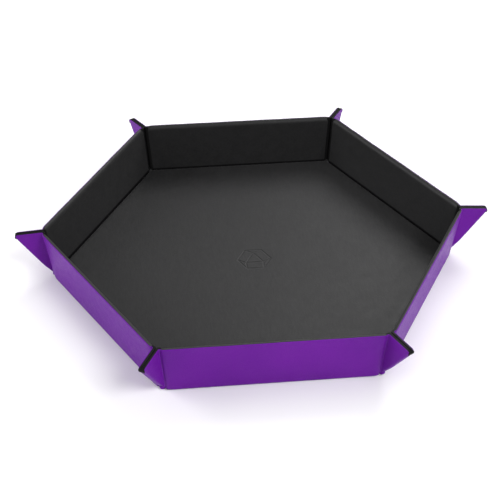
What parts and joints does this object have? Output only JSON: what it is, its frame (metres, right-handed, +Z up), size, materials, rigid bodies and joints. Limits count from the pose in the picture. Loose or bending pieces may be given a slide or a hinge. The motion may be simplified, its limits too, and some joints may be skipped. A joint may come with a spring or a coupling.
{
  "type": "folding dice tray",
  "caption": "Shallow hexagonal dice tray that folds flat: a stiff lined base, creased walls that lean outwards, and corners pinched into triangular fins held by magnets.",
  "frame": {"origin": "on the surface the tray rests on, under the centre of the base", "axes": "+X towards the right-hand corner, +Y towards the back wall, +Z up; the front wall is at -Y"},
  "size_m": [0.267, 0.233, 0.0315],
  "materials": {
    "leatherette": "fine grained, satin",
    "microfibre": "matte short nap",
    "greyboard": "matte",
    "magnet": "nickel plated"
  },
  "bodies": {
    "base": {"base_cover": "leatherette", "base_lining": "microfibre", "base_board": "greyboard"},
    "front_wall": {"front_wall_cover": "leatherette", "front_wall_lining": "microfibre", "front_wall_board": "greyboard"},
    "front_wall_left_flap": {"front_wall_left_flap_skins": "leatherette", "front_wall_left_flap_board": "greyboard", "front_wall_left_flap_magnet": "magnet"},
    "front_wall_right_flap": {"front_wall_right_flap_skins": "leatherette", "front_wall_right_flap_board": "greyboard", "front_wall_right_flap_magnet": "magnet"},
    "front_right_wall": {"front_right_wall_cover": "leatherette", "front_right_wall_lining": "microfibre", "front_right_wall_board": "greyboard"},
    "front_right_wall_left_flap": {"front_right_wall_left_flap_skins": "leatherette", "front_right_wall_left_flap_board": "greyboard", "front_right_wall_left_flap_magnet": "magnet"},
    "front_right_wall_right_flap": {"front_right_wall_right_flap_skins": "leatherette", "front_right_wall_right_flap_board": "greyboard", "front_right_wall_right_flap_magnet": "magnet"},
    "back_right_wall": {"back_right_wall_cover": "leatherette", "back_right_wall_lining": "microfibre", "back_right_wall_board": "greyboard"},
    "back_right_wall_left_flap": {"back_right_wall_left_flap_skins": "leatherette", "back_right_wall_left_flap_board": "greyboard", "back_right_wall_left_flap_magnet": "magnet"},
    "back_right_wall_right_flap": {"back_right_wall_right_flap_skins": "leatherette", "back_right_wall_right_flap_board": "greyboard", "back_right_wall_right_flap_magnet": "magnet"},
    "back_wall": {"back_wall_cover": "leatherette", "back_wall_lining": "microfibre", "back_wall_board": "greyboard"},
    "back_wall_left_flap": {"back_wall_left_flap_skins": "leatherette", "back_wall_left_flap_board": "greyboard", "back_wall_left_flap_magnet": "magnet"},
    "back_wall_right_flap": {"back_wall_right_flap_skins": "leatherette", "back_wall_right_flap_board": "greyboard", "back_wall_right_flap_magnet": "magnet"},
    "back_left_wall": {"back_left_wall_cover": "leatherette", "back_left_wall_lining": "microfibre", "back_left_wall_board": "greyboard"},
    "back_left_wall_left_flap": {"back_left_wall_left_flap_skins": "leatherette", "back_left_wall_left_flap_board": "greyboard", "back_left_wall_left_flap_magnet": "magnet"},
    "back_left_wall_right_flap": {"back_left_wall_right_flap_skins": "leatherette", "back_left_wall_right_flap_board": "greyboard", "back_left_wall_right_flap_magnet": "magnet"},
    "front_left_wall": {"front_left_wall_cover": "leatherette", "front_left_wall_lining": "microfibre", "front_left_wall_board": "greyboard"},
    "front_left_wall_left_flap": {"front_left_wall_left_flap_skins": "leatherette", "front_left_wall_left_flap_board": "greyboard", "front_left_wall_left_flap_magnet": "magnet"},
    "front_left_wall_right_flap": {"front_left_wall_right_flap_skins": "leatherette", "front_left_wall_right_flap_board": "greyboard", "front_left_wall_right_flap_magnet": "magnet"}
  },
  "joints": [
    {"name": "front_wall_fold", "type": "hinge", "parent": "base", "child": "front_wall", "pos_m": [0, -0.0996, 0.0013], "axis": [1, 0, 0], "range_deg": [0, 83]},
    {"name": "front_wall_left_flap_fold", "type": "hinge", "parent": "front_wall", "child": "front_wall_left_flap", "pos_m": [-0.05646, -0.0996, 0.0013], "axis": [0.0702, 0.1216, -0.9901], "range_deg": [0, 60.25]},
    {"name": "front_wall_right_flap_fold", "type": "hinge", "parent": "front_wall", "child": "front_wall_right_flap", "pos_m": [0.05646, -0.0996, 0.0013], "axis": [0.0702, -0.1216, 0.9901], "range_deg": [0, 60.25]},
    {"name": "front_right_wall_fold", "type": "hinge", "parent": "base", "child": "front_right_wall", "pos_m": [0.08626, -0.0498, 0.0013], "axis": [0.5, 0.866, 0], "range_deg": [0, 83]},
    {"name": "front_right_wall_left_flap_fold", "type": "hinge", "parent": "front_right_wall", "child": "front_right_wall_left_flap", "pos_m": [0.05802, -0.0987, 0.0013], "axis": [-0.0702, 0.1216, -0.9901], "range_deg": [0, 60.25]},
    {"name": "front_right_wall_right_flap_fold", "type": "hinge", "parent": "front_right_wall", "child": "front_right_wall_right_flap", "pos_m": [0.11449, -0.0009, 0.0013], "axis": [0.1404, 0, 0.9901], "range_deg": [0, 60.25]},
    {"name": "back_right_wall_fold", "type": "hinge", "parent": "base", "child": "back_right_wall", "pos_m": [0.08626, 0.0498, 0.0013], "axis": [-0.5, 0.866, 0], "range_deg": [0, 83]},
    {"name": "back_right_wall_left_flap_fold", "type": "hinge", "parent": "back_right_wall", "child": "back_right_wall_left_flap", "pos_m": [0.11449, 0.0009, 0.0013], "axis": [-0.1404, 0, -0.9901], "range_deg": [0, 60.25]},
    {"name": "back_right_wall_right_flap_fold", "type": "hinge", "parent": "back_right_wall", "child": "back_right_wall_right_flap", "pos_m": [0.05802, 0.0987, 0.0013], "axis": [0.0702, 0.1216, 0.9901], "range_deg": [0, 60.25]},
    {"name": "back_wall_fold", "type": "hinge", "parent": "base", "child": "back_wall", "pos_m": [0, 0.0996, 0.0013], "axis": [-1, 0, 0], "range_deg": [0, 83]},
    {"name": "back_wall_left_flap_fold", "type": "hinge", "parent": "back_wall", "child": "back_wall_left_flap", "pos_m": [0.05646, 0.0996, 0.0013], "axis": [-0.0702, -0.1216, -0.9901], "range_deg": [0, 60.25]},
    {"name": "back_wall_right_flap_fold", "type": "hinge", "parent": "back_wall", "child": "back_wall_right_flap", "pos_m": [-0.05646, 0.0996, 0.0013], "axis": [-0.0702, 0.1216, 0.9901], "range_deg": [0, 60.25]},
    {"name": "back_left_wall_fold", "type": "hinge", "parent": "base", "child": "back_left_wall", "pos_m": [-0.08626, 0.0498, 0.0013], "axis": [-0.5, -0.866, 0], "range_deg": [0, 83]},
    {"name": "back_left_wall_left_flap_fold", "type": "hinge", "parent": "back_left_wall", "child": "back_left_wall_left_flap", "pos_m": [-0.05802, 0.0987, 0.0013], "axis": [0.0702, -0.1216, -0.9901], "range_deg": [0, 60.25]},
    {"name": "back_left_wall_right_flap_fold", "type": "hinge", "parent": "back_left_wall", "child": "back_left_wall_right_flap", "pos_m": [-0.11449, 0.0009, 0.0013], "axis": [-0.1404, 0, 0.9901], "range_deg": [0, 60.25]},
    {"name": "front_left_wall_fold", "type": "hinge", "parent": "base", "child": "front_left_wall", "pos_m": [-0.08626, -0.0498, 0.0013], "axis": [0.5, -0.866, 0], "range_deg": [0, 83]},
    {"name": "front_left_wall_left_flap_fold", "type": "hinge", "parent": "front_left_wall", "child": "front_left_wall_left_flap", "pos_m": [-0.11449, -0.0009, 0.0013], "axis": [0.1404, 0, -0.9901], "range_deg": [0, 60.25]},
    {"name": "front_left_wall_right_flap_fold", "type": "hinge", "parent": "front_left_wall", "child": "front_left_wall_right_flap", "pos_m": [-0.05802, -0.0987, 0.0013], "axis": [-0.0702, -0.1216, 0.9901], "range_deg": [0, 60.25]}
  ],
  "couplings": [
    {"joint": "front_wall_left_flap_fold", "follows": "front_wall_fold", "ratio": 0.72586},
    {"joint": "front_wall_right_flap_fold", "follows": "front_wall_fold", "ratio": 0.72586},
    {"joint": "front_right_wall_fold", "follows": "front_wall_fold", "ratio": 1},
    {"joint": "front_right_wall_left_flap_fold", "follows": "front_wall_fold", "ratio": 0.72586},
    {"joint": "front_right_wall_right_flap_fold", "follows": "front_wall_fold", "ratio": 0.72586},
    {"joint": "back_right_wall_fold", "follows": "front_wall_fold", "ratio": 1},
    {"joint": "back_right_wall_left_flap_fold", "follows": "front_wall_fold", "ratio": 0.72586},
    {"joint": "back_right_wall_right_flap_fold", "follows": "front_wall_fold", "ratio": 0.72586},
    {"joint": "back_wall_fold", "follows": "front_wall_fold", "ratio": 1},
    {"joint": "back_wall_left_flap_fold", "follows": "front_wall_fold", "ratio": 0.72586},
    {"joint": "back_wall_right_flap_fold", "follows": "front_wall_fold", "ratio": 0.72586},
    {"joint": "back_left_wall_fold", "follows": "front_wall_fold", "ratio": 1},
    {"joint": "back_left_wall_left_flap_fold", "follows": "front_wall_fold", "ratio": 0.72586},
    {"joint": "back_left_wall_right_flap_fold", "follows": "front_wall_fold", "ratio": 0.72586},
    {"joint": "front_left_wall_fold", "follows": "front_wall_fold", "ratio": 1},
    {"joint": "front_left_wall_left_flap_fold", "follows": "front_wall_fold", "ratio": 0.72586},
    {"joint": "front_left_wall_right_flap_fold", "follows": "front_wall_fold", "ratio": 0.72586}
  ]
}
